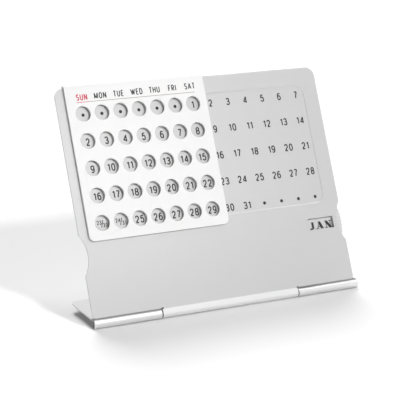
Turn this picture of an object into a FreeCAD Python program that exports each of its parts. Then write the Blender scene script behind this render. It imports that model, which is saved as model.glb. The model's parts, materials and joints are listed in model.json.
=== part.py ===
import FreeCAD, Part
import math
import os

from FreeCAD import Vector

# A folding perpetual desk calendar in sheet aluminium. Sizes are in millimetres.
#
# Each sheet piece is drawn flat, as it lies before it is leaned: x runs to the right along the
# hinge, y runs away from the hinge up the sheet, and z points out of the sheet's outer face.
# The hinge axis is x, through the origin, and the front panel's left edge is at x = 0.
# The base plate stays flat. The panel and all it carries lean up round the hinge axis.

# Calendar grid: it sets the front panel, the slider and the slider's travel.
column_pitch = 10.25
row_pitch = 14.0
grid_columns = 13
grid_rows = 5
week_columns = 7

# Front panel: metal bands from the edges of the sheet to the outer columns and rows.
panel_lean = 66.0
panel_sheet = 1.0
panel_left_band = 13.0
panel_right_band = 14.0
panel_top_band = 14.3
panel_bottom_band = 49.2
panel_top_corner = 5.0
panel_bottom_corner = 1.8

# Pressed recess that holds the printed grid, measured from the outer columns and rows.
recess_depth = 0.5
recess_wall_run = 0.5
recess_corner = 5.5
recess_left_band = 4.0
recess_right_band = 5.6
recess_top_band = 5.2
recess_bottom_band = 3.8

# Finger notches in both side edges, level with the month wheel's axis.
notch_chord = 21.0
notch_depth = 3.2
notch_blend = 2.0

# Month window.
window_width = 15.2
window_height = 6.0
window_corner = 0.4

# Hinge: two outer knuckles rolled from the base plate, one middle knuckle rolled from the panel.
pin_radius = 1.15
pin_clearance = 0.05
pin_end_inset = 0.3
pin_chamfer = 0.25
outer_knuckle_length = 36.4
knuckle_gap = 0.5
knuckle_seam = 0.2
leaf_clearance = 0.4
relief_radius = 0.7
hinge_washer_play = 0.05
hinge_washer_step = 0.12

# Base plate.
base_sheet = 1.0
base_depth = 32.5
base_corner = 4.5
base_left_inset = 0.7
base_right_overhang = 2.5

# Rubber feet.
foot_radius = 3.2
foot_edge_bevel = 0.4
foot_side_inset = 8.0
foot_rear_inset = 4.6
foot_front_gap = 1.2
barrel_table_gap = 0.3

# Slider: a plate with a hole for every day of five weeks, hooked over the panel's top edge.
slider_sheet = 1.2
slider_gap = 0.3
slider_side_band = 8.05
slider_bottom_band = 8.7
slider_hole_radius = 4.0
slider_bottom_corner = 3.0
hook_rest_gap = 0.1
rear_lip_length = 6.5
rear_lip_corner = 1.5

# Glides on the slider's back: they run in the recess and stop at its two side walls.
glide_radius = 1.5
glide_float = 0.2
glide_stop_gap = 0.3
glide_edge = 0.12

# Month wheel and what holds it on the back of the panel.
wheel_radius = 30.0
wheel_thickness = 1.2
wheel_teeth = 96
wheel_tooth_depth = 0.4
wheel_rim_width = 3.6
wheel_hub_radius = 7.0
wheel_web_relief = 0.4
wheel_base_gap = 4.35
wheel_rim_stand_out = 0.6
wheel_play = 0.05
month_rim_margin = 13.85
stud_radius = 2.0
stud_flange_radius = 4.0
stud_tip = 0.5
stud_chamfer = 0.3
stud_running_clearance = 0.05
washer_thickness = 0.25
washer_radius = 4.5
spring_height = 0.4
spring_metal = 0.2
spring_radius = 4.4
clip_thickness = 0.4
clip_groove_depth = 0.5
clip_radius = 3.8
clip_lobe_radius = 0.75
clip_clearance = 0.05

# Sizes that follow from the ones above.
panel_bore = pin_radius + pin_clearance
panel_front = panel_bore + panel_sheet
base_bore = pin_radius + pin_clearance
base_top = base_bore + base_sheet

first_column = panel_left_band
last_column = first_column + (grid_columns - 1) * column_pitch
last_row = panel_bottom_band
first_row = last_row + (grid_rows - 1) * row_pitch
panel_width = last_column + panel_right_band
panel_height = first_row + panel_top_band
panel_lower_edge = base_top + leaf_clearance

recess_left = first_column - recess_left_band
recess_right = last_column + recess_right_band
recess_bottom = last_row - recess_bottom_band
recess_top = first_row + recess_top_band

base_left = base_left_inset
base_right = panel_width + base_right_overhang
base_middle_edge = panel_front + leaf_clearance
middle_left = base_left + outer_knuckle_length + knuckle_gap
middle_right = base_right - outer_knuckle_length - knuckle_gap
table_level = -max(base_top, panel_front) - barrel_table_gap
foot_height = base_bore - table_level

slide_travel = (grid_columns - week_columns) * column_pitch
slider_left = first_column - slider_side_band
slider_right = first_column + (week_columns - 1) * column_pitch + slider_side_band
slider_bottom = last_row - slider_bottom_band
slider_back = panel_front + slider_gap
slider_front = slider_back + slider_sheet

wheel_x = panel_width + wheel_rim_stand_out - wheel_radius
wheel_y = wheel_radius + wheel_base_gap
window_x = wheel_x + wheel_radius - month_rim_margin
flange_face = panel_bore - recess_depth
washer_face = flange_face - washer_thickness
wheel_face = washer_face - wheel_play
wheel_back = wheel_face - wheel_thickness
spring_face = wheel_back - wheel_play
clip_face = spring_face - spring_height
clip_back = clip_face - clip_thickness
groove_back = clip_back - clip_clearance
stud_end = groove_back - stud_tip

X_AXIS = Vector(1, 0, 0)
Z_AXIS = Vector(0, 0, 1)


def line(start, end):
    """Straight edge between two points."""
    return Part.LineSegment(start, end).toShape()


def arc(start, middle, end):
    """Circular edge through three points."""
    return Part.Arc(start, middle, end).toShape()


def solid_of(shape):
    """The one solid of a finished shape, with split faces joined again."""
    return shape.removeSplitter().Solids[0]


def box(x_low, x_high, y_low, y_high, z_low, z_high):
    """Block between two corners."""
    return Part.makeBox(x_high - x_low, y_high - y_low, z_high - z_low, Vector(x_low, y_low, z_low))


def rounded_rectangle(x_low, x_high, y_low, y_high, radius, level):
    """Closed outline of a rectangle with rounded corners, at one level."""
    edges = []
    corners = [
        (x_high - radius, y_low + radius, -90.0),
        (x_high - radius, y_high - radius, 0.0),
        (x_low + radius, y_high - radius, 90.0),
        (x_low + radius, y_low + radius, 180.0),
    ]
    ends = []
    for centre_x, centre_y, start_angle in corners:
        points = []
        for turn in (0.0, 45.0, 90.0):
            angle = math.radians(start_angle + turn)
            away = Vector(math.cos(angle) * radius, math.sin(angle) * radius, 0)
            points.append(Vector(centre_x, centre_y, level) + away)
        ends.append(points)
    for index, points in enumerate(ends):
        following = ends[(index + 1) % len(ends)]
        edges.append(arc(points[0], points[1], points[2]))
        edges.append(line(points[2], following[0]))
    return Part.Wire(edges)


def round_upright_edges(shape, places, radius):
    """Round the edges along z that stand at the given x, y places."""
    chosen = []
    for edge in shape.Edges:
        ends = [vertex.Point for vertex in edge.Vertexes]
        if len(ends) != 2:
            continue
        run = ends[1] - ends[0]
        if abs(run.x) + abs(run.y) > 1e-6:
            continue
        for place_x, place_y in places:
            if math.hypot(ends[0].x - place_x, ends[0].y - place_y) < 1e-4:
                chosen.append(edge)
    return shape.makeFillet(radius, chosen)


def rolled_leaf(x_left, x_right, bore, sheet, reach):
    """Sheet whose near edge is rolled down round the hinge axis, until it nearly meets itself."""
    outer = bore + sheet
    tip_angle = 2.0 * math.pi + math.asin((bore - knuckle_seam) / outer)
    top_angle = math.pi / 2.0
    middle_angle = (top_angle + tip_angle) / 2.0

    def at(radius, angle):
        return Vector(x_left, radius * math.cos(angle), radius * math.sin(angle))

    far_outer = Vector(x_left, reach, outer)
    far_inner = Vector(x_left, reach, bore)
    edges = [
        line(far_outer, at(outer, top_angle)),
        arc(at(outer, top_angle), at(outer, middle_angle), at(outer, tip_angle)),
        line(at(outer, tip_angle), at(bore, tip_angle)),
        arc(at(bore, tip_angle), at(bore, middle_angle), at(bore, top_angle)),
        line(at(bore, top_angle), far_inner),
        line(far_inner, far_outer),
    ]
    return Part.Face(Part.Wire(edges)).extrude(X_AXIS * (x_right - x_left))


def leaf_cut(x_low, x_high, edge_y):
    """Space cut from a leaf in front of edge_y, where the other leaf's knuckle turns."""
    depth = max(base_top, panel_front) + leaf_clearance
    return box(x_low, x_high, -depth, edge_y, -depth, depth)


def relief_hole(x, y):
    """Round relief at the inner corner of a leaf cut."""
    depth = max(base_top, panel_front) + leaf_clearance
    return Part.makeCylinder(relief_radius, 2.0 * depth, Vector(x, y, -depth), Z_AXIS)


def make_base_plate():
    """Base plate with its two outer knuckles and rounded rear corners."""
    leaf = rolled_leaf(base_left, base_right, base_bore, base_sheet, base_depth)
    cut_left = middle_left - knuckle_gap
    cut_right = middle_right + knuckle_gap
    leaf = leaf.cut(leaf_cut(cut_left, cut_right, base_middle_edge))
    leaf = leaf.cut([relief_hole(cut_left, base_middle_edge), relief_hole(cut_right, base_middle_edge)])
    rear_corners = [(base_left, base_depth), (base_right, base_depth)]
    return solid_of(round_upright_edges(leaf, rear_corners, base_corner))


def pressed_block(outer_level, depth, growth):
    """Shallow block with sloping walls that the press pushes out of the sheet."""
    rim = rounded_rectangle(
        recess_left - growth, recess_right + growth, recess_bottom - growth, recess_top + growth,
        recess_corner + growth, outer_level)
    inset = recess_wall_run - growth
    floor = rounded_rectangle(
        recess_left + inset, recess_right - inset, recess_bottom + inset, recess_top - inset,
        recess_corner - inset, outer_level - depth)
    return Part.makeLoft([rim, floor], True, True)


def finger_notches():
    """Two round cutters, one for each side edge of the panel."""
    notch_radius = (notch_chord ** 2 / 4.0 + notch_depth ** 2) / (2.0 * notch_depth)
    cutters = []
    for centre_x in (notch_depth - notch_radius, panel_width - notch_depth + notch_radius):
        start = Vector(centre_x, wheel_y, panel_bore - panel_sheet)
        cutters.append(Part.makeCylinder(notch_radius, 3.0 * panel_sheet, start, Z_AXIS))
    return cutters


def make_front_panel():
    """Front panel: rolled middle knuckle, pressed recess, month window and finger notches."""
    leaf = rolled_leaf(0.0, panel_width, panel_bore, panel_sheet, panel_height)
    beyond = leaf_clearance
    leaf = leaf.cut(leaf_cut(-beyond, middle_left, panel_lower_edge))
    leaf = leaf.cut(leaf_cut(middle_right, panel_width + beyond, panel_lower_edge))
    leaf = leaf.cut([relief_hole(middle_left, panel_lower_edge), relief_hole(middle_right, panel_lower_edge)])
    top_corners = [(0.0, panel_height), (panel_width, panel_height)]
    leaf = round_upright_edges(leaf, top_corners, panel_top_corner)
    bottom_corners = [(0.0, panel_lower_edge), (panel_width, panel_lower_edge)]
    leaf = round_upright_edges(leaf, bottom_corners, panel_bottom_corner)

    leaf = leaf.cut(finger_notches())
    notch_ends = []
    for end_y in (wheel_y - notch_chord / 2.0, wheel_y + notch_chord / 2.0):
        notch_ends += [(0.0, end_y), (panel_width, end_y)]
    leaf = round_upright_edges(leaf, notch_ends, notch_blend)

    wall_angle = math.atan2(recess_depth, recess_wall_run)
    back_growth = panel_sheet * math.tan(wall_angle / 2.0)
    leaf = leaf.fuse(pressed_block(panel_bore, recess_depth, back_growth))
    leaf = leaf.cut(pressed_block(panel_front, recess_depth, 0.0))

    window = rounded_rectangle(
        window_x - window_width / 2.0, window_x + window_width / 2.0,
        wheel_y - window_height / 2.0, wheel_y + window_height / 2.0, window_corner, panel_bore - panel_sheet)
    leaf = leaf.cut(Part.Face(window).extrude(Z_AXIS * (3.0 * panel_sheet)))
    return solid_of(leaf)


def make_hinge_pin():
    """Straight pin through all three knuckles, a little inside the barrel's ends."""
    length = base_right - base_left - 2.0 * pin_end_inset
    pin = Part.makeCylinder(pin_radius, length, Vector(base_left + pin_end_inset, 0, 0), X_AXIS)
    ends = [edge for edge in pin.Edges if edge.Closed]
    return solid_of(pin.makeChamfer(pin_chamfer, ends))


def make_hinge_washer(x_centre):
    """Thin washer on the pin, between two knuckles."""
    thickness = knuckle_gap - 2.0 * hinge_washer_play
    start = Vector(x_centre - thickness / 2.0, 0, 0)
    radius = min(base_top, panel_front) - hinge_washer_step
    ring = Part.makeCylinder(radius, thickness, start, X_AXIS)
    return ring.cut(Part.makeCylinder(pin_radius + pin_clearance, thickness, start, X_AXIS)).Solids[0]


def make_slider():
    """Slider plate with its hook over the panel's top edge and a hole for each day."""
    bend_z = panel_bore + panel_sheet / 2.0
    inner = panel_sheet / 2.0 + slider_gap
    outer = inner + slider_sheet
    bend_y = panel_height + hook_rest_gap - math.sqrt(inner ** 2 - (panel_sheet / 2.0) ** 2)
    lip_y = panel_height - rear_lip_length

    def at(y, z):
        return Vector(slider_left, y, z)

    edges = [
        line(at(slider_bottom, bend_z + outer), at(bend_y, bend_z + outer)),
        arc(at(bend_y, bend_z + outer), at(bend_y + outer, bend_z), at(bend_y, bend_z - outer)),
        line(at(bend_y, bend_z - outer), at(lip_y, bend_z - outer)),
        line(at(lip_y, bend_z - outer), at(lip_y, bend_z - inner)),
        line(at(lip_y, bend_z - inner), at(bend_y, bend_z - inner)),
        arc(at(bend_y, bend_z - inner), at(bend_y + inner, bend_z), at(bend_y, bend_z + inner)),
        line(at(bend_y, bend_z + inner), at(slider_bottom, bend_z + inner)),
        line(at(slider_bottom, bend_z + inner), at(slider_bottom, bend_z + outer)),
    ]
    plate = Part.Face(Part.Wire(edges)).extrude(X_AXIS * (slider_right - slider_left))
    bottom_corners = [(slider_left, slider_bottom), (slider_right, slider_bottom)]
    plate = round_upright_edges(plate, bottom_corners, slider_bottom_corner)
    lip_corners = [(slider_left, lip_y), (slider_right, lip_y)]
    plate = round_upright_edges(plate, lip_corners, rear_lip_corner)

    punches = []
    for row in range(grid_rows):
        for column in range(week_columns):
            place = Vector(first_column + column * column_pitch, last_row + row * row_pitch, slider_back)
            punches.append(Part.makeCylinder(slider_hole_radius, slider_sheet, place, Z_AXIS))
    return solid_of(plate.cut(punches))


def make_glide(x_centre):
    """Round glide on the slider's back, reaching into the recess."""
    y_centre = last_row + row_pitch / 2.0
    thickness = slider_gap + recess_depth - glide_float
    disc = Part.makeCylinder(
        glide_radius, thickness, Vector(x_centre, y_centre, slider_back), Z_AXIS * -1.0)
    low_edges = [edge for edge in disc.Edges if edge.Closed and edge.CenterOfMass.z < slider_back - glide_edge]
    return solid_of(disc.makeChamfer(glide_edge, low_edges))


def turned(profile, x, y):
    """Solid of revolution about an upright axis at x, y, from its radius and level pairs."""
    points = [Vector(x + radius, y, level) for radius, level in profile]
    outline = Part.makePolygon(points + points[:1])
    return Part.Face(outline).revolve(Vector(x, y, 0), Z_AXIS, 360.0)


def make_month_wheel():
    """Month wheel: serrated rim, thin web and a hub that runs on the stud."""
    outline = []
    for step in range(2 * wheel_teeth):
        radius = wheel_radius - (step % 2) * wheel_tooth_depth
        angle = math.pi * step / wheel_teeth
        place = Vector(math.cos(angle) * radius, math.sin(angle) * radius, 0)
        outline.append(Vector(wheel_x, wheel_y, wheel_back) + place)
    outline.append(outline[0])
    disc = Part.Face(Part.makePolygon(outline)).extrude(Z_AXIS * wheel_thickness)
    bore = Part.makeCylinder(
        stud_radius + stud_running_clearance, wheel_thickness, Vector(wheel_x, wheel_y, wheel_back), Z_AXIS)
    web = turned([
        (wheel_hub_radius, wheel_back),
        (wheel_radius - wheel_rim_width, wheel_back),
        (wheel_radius - wheel_rim_width, wheel_back + wheel_web_relief),
        (wheel_hub_radius, wheel_back + wheel_web_relief),
    ], wheel_x, wheel_y)
    return solid_of(disc.cut([bore, web]))


def make_wheel_stud():
    """Stud welded to the panel's back: flange, bearing shank, clip groove and bevelled tip."""
    groove_radius = stud_radius - clip_groove_depth
    return turned([
        (0.0, panel_bore),
        (stud_flange_radius, panel_bore),
        (stud_flange_radius, flange_face),
        (stud_radius, flange_face),
        (stud_radius, clip_face),
        (groove_radius, clip_face),
        (groove_radius, groove_back),
        (stud_radius, groove_back),
        (stud_radius, stud_end + stud_chamfer),
        (stud_radius - stud_chamfer, stud_end),
        (0.0, stud_end),
    ], wheel_x, wheel_y)


def make_wheel_washer():
    """Flat washer between the stud's flange and the month wheel."""
    bore = stud_radius + stud_running_clearance
    return turned([
        (bore, washer_face), (washer_radius, washer_face), (washer_radius, flange_face), (bore, flange_face),
    ], wheel_x, wheel_y)


def make_spring_washer():
    """Dished spring washer that presses the month wheel forward."""
    bore = stud_radius + stud_running_clearance
    return turned([
        (bore, clip_face),
        (spring_radius, spring_face - spring_metal),
        (spring_radius, spring_face),
        (bore, clip_face + spring_metal),
    ], wheel_x, wheel_y)


def make_wheel_clip():
    """E-shaped clip in the stud's groove, open at the bottom."""
    start = Vector(wheel_x, wheel_y, clip_back)
    seat = stud_radius - clip_groove_depth + clip_clearance
    clip = Part.makeCylinder(clip_radius, clip_thickness, start, Z_AXIS)
    cutters = [Part.makeCylinder(seat, clip_thickness, start, Z_AXIS)]
    cutters.append(box(
        wheel_x - seat, wheel_x + seat, wheel_y - clip_radius, wheel_y, clip_back, clip_face))
    for angle in (30.0, 150.0):
        away = Vector(math.cos(math.radians(angle)), math.sin(math.radians(angle)), 0) * (seat + clip_lobe_radius / 2.0)
        cutters.append(Part.makeCylinder(clip_lobe_radius, clip_thickness, start + away, Z_AXIS))
    return solid_of(clip.cut(cutters))


def make_foot(x_centre, y_centre):
    """Round rubber foot under the base plate, bevelled where it meets the table."""
    foot = Part.makeCylinder(foot_radius, foot_height, Vector(x_centre, y_centre, base_bore), Z_AXIS * -1.0)
    low_edges = [edge for edge in foot.Edges if edge.Closed and edge.CenterOfMass.z < table_level + foot_edge_bevel]
    return solid_of(foot.makeChamfer(foot_edge_bevel, low_edges))


def foot_places():
    """Name and place of each foot: one pair behind the barrel, one pair at the rear edge."""
    front_y = max(base_top, panel_front) + foot_front_gap + foot_radius
    rear_y = base_depth - foot_rear_inset
    places = {}
    for side, x_centre in (("left", base_left + foot_side_inset), ("right", base_right - foot_side_inset)):
        places["front_%s_foot" % side] = (x_centre, front_y)
        places["rear_%s_foot" % side] = (x_centre, rear_y)
    return places


def leaned(shape):
    """Turn a piece that the panel carries from flat to its lean."""
    return shape.rotated(Vector(0, 0, 0), X_AXIS, panel_lean)


def make_pieces():
    """All pieces by name, with the hinge axis still on x."""
    pieces = {
        "base_plate": make_base_plate(),
        "hinge_pin": make_hinge_pin(),
        "left_hinge_washer": make_hinge_washer(middle_left - knuckle_gap / 2.0),
        "right_hinge_washer": make_hinge_washer(middle_right + knuckle_gap / 2.0),
    }
    for name, place in foot_places().items():
        pieces[name] = make_foot(place[0], place[1])
    left_glide = recess_left + recess_wall_run + glide_stop_gap + glide_radius
    right_glide = recess_right - recess_wall_run - glide_stop_gap - glide_radius - slide_travel
    on_panel = {
        "front_panel": make_front_panel(),
        "calendar_slider": make_slider(),
        "left_slider_glide": make_glide(left_glide),
        "right_slider_glide": make_glide(right_glide),
        "month_wheel": make_month_wheel(),
        "wheel_stud": make_wheel_stud(),
        "wheel_washer": make_wheel_washer(),
        "wheel_spring_washer": make_spring_washer(),
        "wheel_clip": make_wheel_clip(),
    }
    for name, shape in on_panel.items():
        pieces[name] = leaned(shape)
    return pieces


def stand_on_origin(pieces):
    """Vector that brings the middle of the underside of the whole calendar to the origin."""
    bounds = Part.makeCompound(list(pieces.values())).optimalBoundingBox(False, False)
    return Vector(-(bounds.XMin + bounds.XMax) / 2.0, -(bounds.YMin + bounds.YMax) / 2.0, -bounds.ZMin)


all_pieces = make_pieces()
shift = stand_on_origin(all_pieces)
os.makedirs("parts", exist_ok=True)
for piece_name, piece in all_pieces.items():
    placed = piece.translated(shift)
    placed.exportStep(os.path.join("parts", piece_name + ".step"))
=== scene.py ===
# %% [markdown]
# A folding perpetual desk calendar in sheet aluminium.
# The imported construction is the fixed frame: every piece below is made to fit it, in the same place
# and at the same size, and takes its finish here. The frame is loaded first, because each later
# step reads its sizes from it.

# %% Load the frame
import json
import math

import bmesh
import bpy
from mathutils import Matrix, Vector
from mathutils.geometry import delaunay_2d_cdt, tessellate_polygon


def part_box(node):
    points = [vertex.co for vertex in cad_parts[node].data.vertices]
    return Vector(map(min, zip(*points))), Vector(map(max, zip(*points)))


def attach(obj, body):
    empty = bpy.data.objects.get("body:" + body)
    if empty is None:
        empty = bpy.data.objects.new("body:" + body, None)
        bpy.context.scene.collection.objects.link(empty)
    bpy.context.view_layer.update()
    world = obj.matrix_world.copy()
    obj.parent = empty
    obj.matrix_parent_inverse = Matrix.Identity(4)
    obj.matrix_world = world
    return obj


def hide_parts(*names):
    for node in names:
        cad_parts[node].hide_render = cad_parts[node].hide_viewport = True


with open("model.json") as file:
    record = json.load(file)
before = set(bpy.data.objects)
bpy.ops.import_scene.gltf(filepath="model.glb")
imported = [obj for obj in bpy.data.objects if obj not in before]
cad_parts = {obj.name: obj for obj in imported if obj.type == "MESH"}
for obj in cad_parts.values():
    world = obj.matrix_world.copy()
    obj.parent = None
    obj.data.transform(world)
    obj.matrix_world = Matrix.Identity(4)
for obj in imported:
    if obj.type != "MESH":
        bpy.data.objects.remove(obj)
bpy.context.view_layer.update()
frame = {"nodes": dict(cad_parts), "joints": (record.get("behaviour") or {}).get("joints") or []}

scene = bpy.context.scene

# %% [markdown]
# The calendar is drawn flat, as a sheet-metal worker would draw it: x runs right along the hinge,
# y runs up the sheet, z comes out of its face, and the unit is the millimetre. One matrix then
# leans the finished drawing back and sets it on the hinge. The lean and the hinge are read from the
# frame's joints, so a drawing can never drift away from the construction.

# %% Places: from a flat drawing in millimetres to the frame
MM = 0.001
joints = {joint["name"]: joint for joint in frame["joints"]}
hinge_point = Vector(joints["panel_tilt"]["pos_m"])
panel_low, panel_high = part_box("front_panel")
base_low, base_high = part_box("base_plate")

face_normal = Vector(joints["month_wheel_turn"]["axis"]).normalized()
x_axis = Vector((1.0, 0.0, 0.0))
face_up = face_normal.cross(x_axis)
hinge_corner = Vector((panel_low.x, hinge_point.y, hinge_point.z))


def placement(origin, right, up, out):
    """Matrix that takes a drawing in millimetres to a place in the frame, in metres."""
    columns = Matrix((right * MM, up * MM, out * MM)).transposed().to_4x4()
    columns.translation = origin
    return columns


on_panel = placement(hinge_corner, x_axis, face_up, face_normal)
on_table = placement(hinge_corner, x_axis, Vector((0.0, 1.0, 0.0)), Vector((0.0, 0.0, 1.0)))
lean = math.acos(face_up.y)
print("the panel leans at %.1f degrees" % math.degrees(lean))
print("its hinge is %.2f mm up" % (hinge_point.z / MM))

# %% [markdown]
# Driving sizes of the visible pieces, in millimetres on the flat drawings. They are the same ones
# that the construction was made from. The sheets' widths, the base's depth and the wheel's axis are
# read from the frame.

# %% Sizes of the sheet pieces
column_pitch = 10.25
row_pitch = 14.0
grid_columns = 13
grid_rows = 5
week_columns = 7
first_column = 13.0
last_row = 49.2
first_row = last_row + (grid_rows - 1) * row_pitch

top_band = 14.3
panel_width = (panel_high.x - panel_low.x) / MM
panel_height = first_row + top_band
barrel_radius = 2.2
sheet_thickness = 1.0
leaf_edge = 2.6
relief_radius = 0.7
knuckle_gap = 0.5
outer_knuckle = 36.4
base_left = (base_low.x - panel_low.x) / MM
base_right = (base_high.x - panel_low.x) / MM
base_depth = (base_high.y - hinge_point.y) / MM

recess_band_left = 4.0
recess_band_right = 5.6
recess_band_below = 3.8
recess_band_above = 5.2
recess_left = first_column - recess_band_left
recess_right = first_column + (grid_columns - 1) * column_pitch + recess_band_right
recess_bottom = last_row - recess_band_below
recess_top = first_row + recess_band_above
recess_corner = 5.5
recess_depth = 0.5
recess_floor = barrel_radius - recess_depth

wheel_centre = on_panel.inverted() @ Vector(joints["month_wheel_turn"]["pos_m"])
window_from_wheel = 16.15
window_centre = Vector((wheel_centre.x + window_from_wheel, wheel_centre.y))
window_size = Vector((15.2, 6.0))
window_corner = 0.4
print("panel %.1f x %.1f mm, base %.1f mm deep" % (panel_width, panel_height, base_depth))
print("month wheel's axis at %.2f, %.2f mm on the panel" % (wheel_centre.x, wheel_centre.y))

# %% [markdown]
# Shader and geometry trees are made by the same two helpers. make_node adds one node of any type,
# its settings first, and fill sets its sockets, which take a number, a colour or a link. Value wraps
# a number socket, so that plain Python signs add the Math nodes: 1 - mask works as it reads.

# %% Node helpers
def make_node(tree, kind, settings=None, sockets=None):
    """One node with its settings made first and its sockets filled or linked."""
    node = tree.nodes.new(kind)
    for name, value in (settings or {}).items():
        setattr(node, name, value)
    fill(tree, node, sockets or {})
    return node


def fill(tree, node, sockets):
    """Give sockets a Value or an output socket as a link, or a plain number, vector or colour."""
    for name, value in sockets.items():
        socket = node.inputs[name]
        if isinstance(value, Value):
            tree.links.new(value.socket, socket)
        elif isinstance(value, bpy.types.NodeSocket):
            tree.links.new(value, socket)
        else:
            socket.default_value = value


class Value:
    """A number socket that Python's own signs can work with."""

    def __init__(self, tree, socket):
        self.tree = tree
        self.socket = socket

    def maths(self, operation, first, second):
        node = make_node(self.tree, "ShaderNodeMath", {"operation": operation}, {0: first, 1: second})
        return Value(self.tree, node.outputs[0])

    def __add__(self, other):
        return self.maths("ADD", self, other)

    def __radd__(self, other):
        return self.maths("ADD", other, self)

    def __sub__(self, other):
        return self.maths("SUBTRACT", self, other)

    def __rsub__(self, other):
        return self.maths("SUBTRACT", other, self)

    def __mul__(self, other):
        return self.maths("MULTIPLY", self, other)

    def __rmul__(self, other):
        return self.maths("MULTIPLY", other, self)

    def __truediv__(self, other):
        return self.maths("DIVIDE", self, other)

    def __gt__(self, other):
        return self.maths("GREATER_THAN", self, other)

    def __lt__(self, other):
        return self.maths("LESS_THAN", self, other)


def field(tree, node, output):
    """Number output of a node, ready for Python's signs."""
    return Value(tree, node.outputs[output])


print("node helpers ready")

# %% [markdown]
# A finish is a small tree round one Principled shader. The patterns read Object coordinates, which
# are the frame's own metres, so a scale of 1000 draws grains of a millimetre. The pattern on a
# leaned piece is first turned back by a Mapping node, so that rolling marks run along the sheet.

# %% Helpers for finishes
def new_finish(name):
    """Material with a Principled shader, and its tree."""
    material = bpy.data.materials.new(name)
    material.use_nodes = True
    tree = material.node_tree
    return material, tree, tree.nodes["Principled BSDF"]


def sheet_coordinates(tree, turn, scale=(1.0, 1.0, 1.0)):
    """Object coordinates turned back by the piece's lean, and stretched along the sheet."""
    source = make_node(tree, "ShaderNodeTexCoord")
    mapping = make_node(
        tree, "ShaderNodeMapping", {"vector_type": "POINT"},
        {"Vector": source.outputs["Object"], "Rotation": (-turn, 0.0, 0.0), "Scale": scale})
    return mapping.outputs["Vector"]


def noise(tree, vector, scale, detail=2.0, roughness=0.5):
    """Soft random pattern between 0 and 1."""
    node = make_node(
        tree, "ShaderNodeTexNoise", None,
        {"Vector": vector, "Scale": scale, "Detail": detail, "Roughness": roughness})
    return field(tree, node, "Fac")


def blend_colours(tree, factor, first, second):
    """Colour between two, by a factor."""
    node = make_node(tree, "ShaderNodeMix", {"data_type": "RGBA"}, {0: factor, 6: first, 7: second})
    return node.outputs[2]


def bump(tree, height, strength, distance):
    """Normal from a height pattern."""
    node = make_node(
        tree, "ShaderNodeBump", None, {"Height": height, "Strength": strength, "Distance": distance})
    return node.outputs["Normal"]


def soft_step(tree, value, start, end):
    """Smooth step from 0 to 1, while a value goes from a start to an end."""
    node = make_node(
        tree, "ShaderNodeMapRange", {"interpolation_type": "SMOOTHSTEP"},
        {"Value": value, "From Min": start, "From Max": end})
    return field(tree, node, "Result")


def grey(level, warmth=0.0):
    """Neutral colour at a linear level, a little warm or cool."""
    return (level * (1.0 + warmth), level, level * (1.0 - warmth), 1.0)


print("finish helpers ready")

# %% [markdown]
# Satin anodised aluminium: the real sheet is etched to an even grey before it is anodised, so it
# reflects like a very rough mirror. The grain is a bump of about a third of a millimetre, faint
# rolling lines run along x, and wide soft clouds keep the grey from looking printed. The rolled
# knuckles are a little smoother, and their brighter tone is a painted highlight. The crease behind
# the base's knuckles gets a dark tone, which is painted shade for the narrow gap there, and not a
# finish of the real metal.

# %% Satin aluminium
rolled_blend = 0.0004
# painted shade in the crease behind the base's knuckles: where it starts and ends, and its tone
crease_start = 0.002
crease_end = 0.004
crease_shade_tone = grey(0.1)


def satin_aluminium(name, turn, level, roughness, metallic, rolled_from, rolled_highlight_level, crease):
    """Etched and anodised sheet, with a painted highlight on the smoother rolled edge and painted shade in
    the crease behind it.
    """
    material, tree, shader = new_finish(name)
    even = sheet_coordinates(tree, turn)
    rolled = sheet_coordinates(tree, turn, (0.04, 1.0, 1.0))
    grain = noise(tree, even, 3200.0, 3.0, 0.6)
    lines = noise(tree, rolled, 2600.0)
    clouds = noise(tree, even, 26.0, 3.0, 0.55)
    tone = grain * 0.35 + lines * 0.3 + clouds * 0.35
    colour = blend_colours(tree, tone, grey(level * 0.955), grey(level * 1.045))
    parts = make_node(tree, "ShaderNodeSeparateXYZ", None, {0: even})
    hinge_level = (Matrix.Rotation(-turn, 3, "X") @ hinge_point).y
    behind_hinge = field(tree, parts, "Y") - hinge_level
    # painted highlight: the rolled knuckles are lifted in colour; the same mask also makes them smoother and
    # less rough
    burnish_and_highlight = soft_step(tree, behind_hinge, rolled_from, rolled_from - rolled_blend)
    # painted shade: the crease behind the base's knuckles is darkened
    shade = soft_step(tree, behind_hinge, crease_end, crease_start) * crease
    creased = blend_colours(tree, shade, colour, crease_shade_tone)
    relief_height = (grain * 0.7 + lines * 0.3) * (1 - burnish_and_highlight * 0.85)
    fill(tree, shader, {
        "Metallic": metallic,
        "Base Color": blend_colours(tree, burnish_and_highlight, creased, grey(rolled_highlight_level)),
        "Roughness": roughness - 0.05 + grain * 0.06 + clouds * 0.04 - burnish_and_highlight * 0.06,
        "Normal": bump(tree, relief_height, 0.16, 0.00004)})
    return material


panel_finish = satin_aluminium(
    "panel_aluminium", lean, level=0.575, roughness=0.44, metallic=0.5,
    rolled_from=0.0026, rolled_highlight_level=0.8, crease=0.0)
base_finish = satin_aluminium(
    "base_aluminium", 0.0, level=0.72, roughness=0.4, metallic=0.55,
    rolled_from=-0.0001, rolled_highlight_level=0.76, crease=0.85)
print("satin aluminium for the panel and the base")

# %% [markdown]
# White enamel: sprayed and stoved, so it has a faint orange-peel skin and an even soft gloss. The
# peel is a wide shallow bump, and a thin clear coat gives the gloss.

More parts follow.
